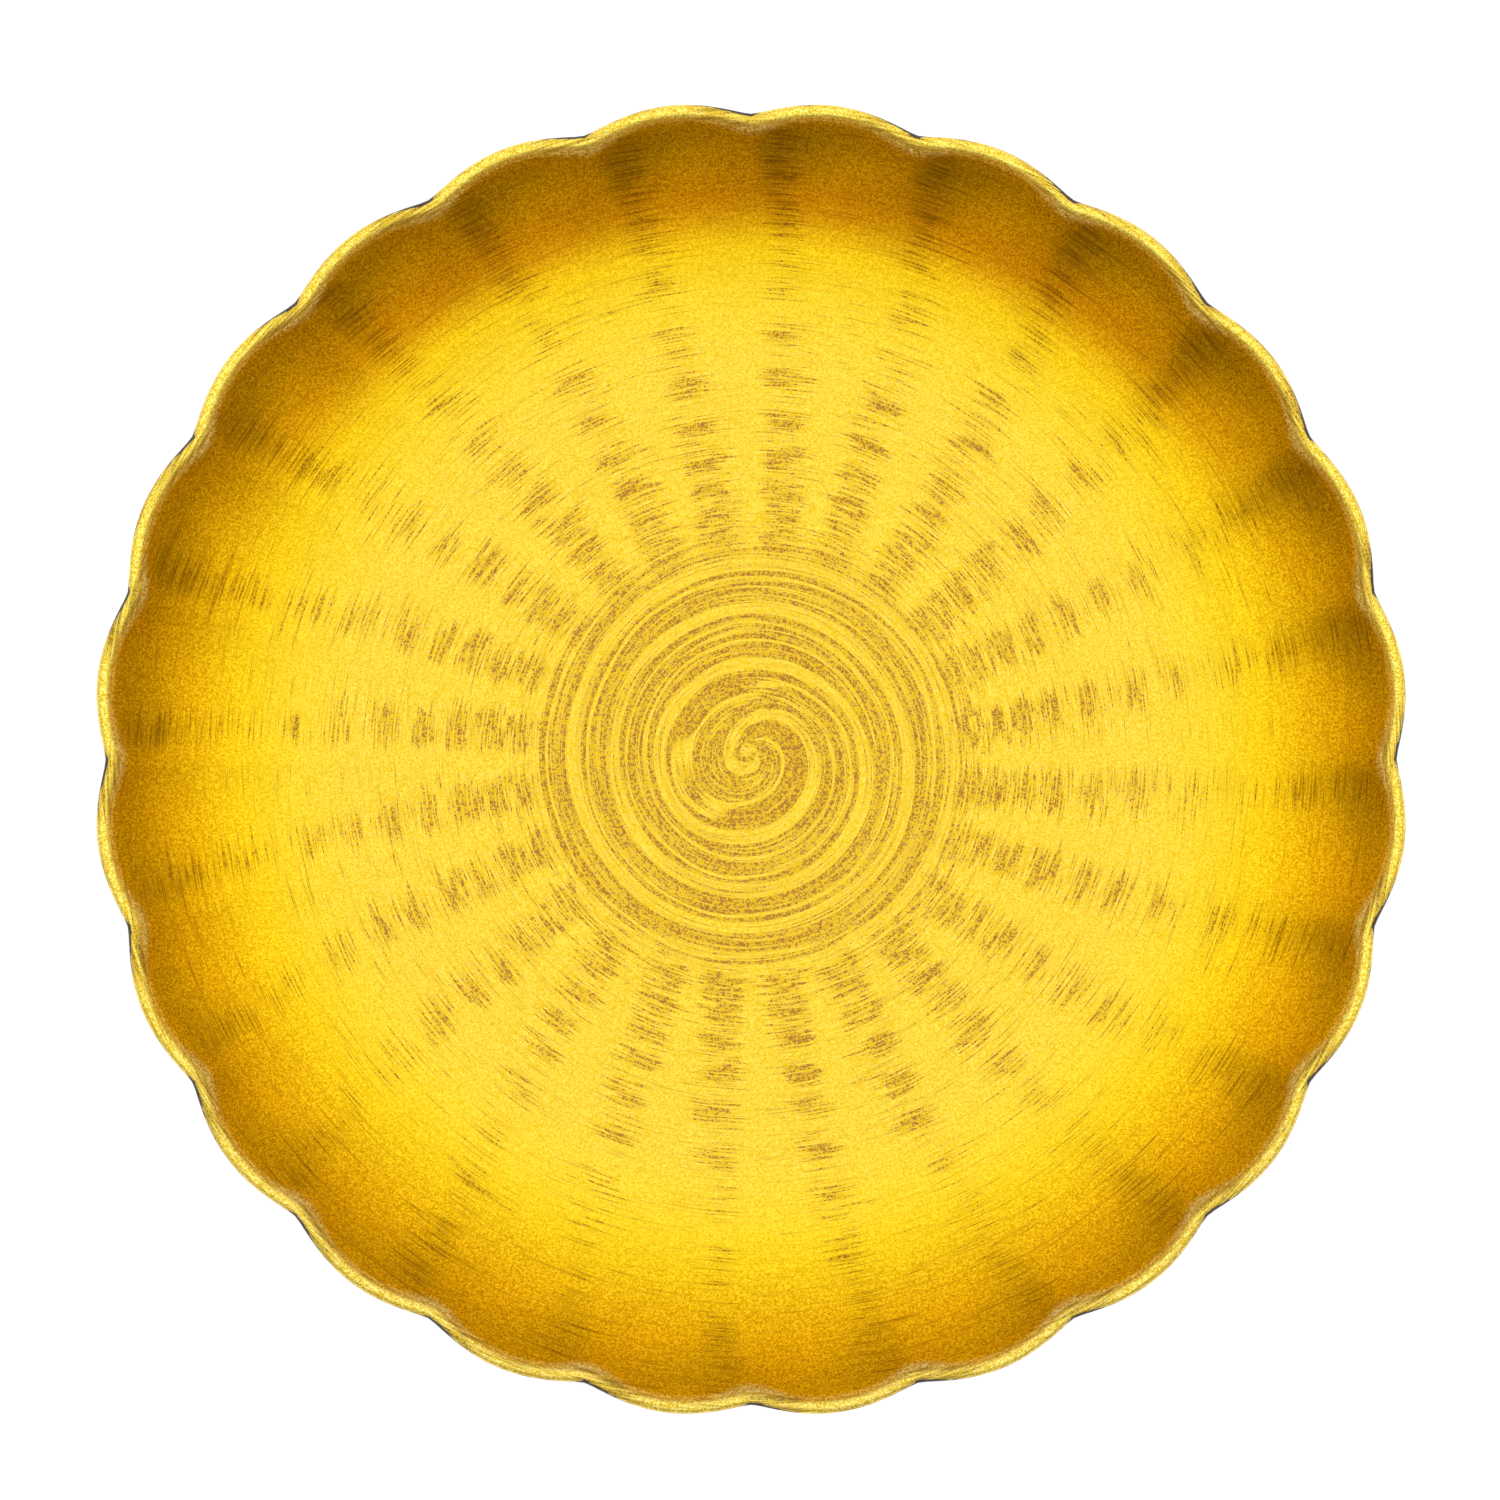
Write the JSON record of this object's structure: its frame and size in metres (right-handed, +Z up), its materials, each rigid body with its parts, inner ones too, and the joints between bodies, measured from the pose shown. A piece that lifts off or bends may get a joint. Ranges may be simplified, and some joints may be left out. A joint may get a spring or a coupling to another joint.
{
  "type": "tray",
  "caption": "Round brass tray with a fluted, scalloped wall and wired rim, brushed gold over a dark ground, on a low foot ring with felt pads.",
  "frame": {"origin": "centre of the tray on the surface it stands on", "axes": "+Z up out of the dish, +X through a notch of the scalloped rim, and the rim repeats all the way round"},
  "size_m": [0.3272, 0.3272, 0.0317],
  "materials": {
    "gold_brass": "gold brushed in a spiral over a dark purple-brown ground, satin, with the ground showing through along the flutes",
    "steel_wire": "drawn, plain",
    "foot_brass": "turned and darkened",
    "felt": "pressed felt, matt"
  },
  "bodies": {
    "root": {"tray_body": "gold_brass", "rim_wire": "steel_wire", "foot_ring": "foot_brass", "felt_pad_1": "felt", "felt_pad_2": "felt", "felt_pad_3": "felt", "felt_pad_4": "felt"}
  },
  "joints": []
}
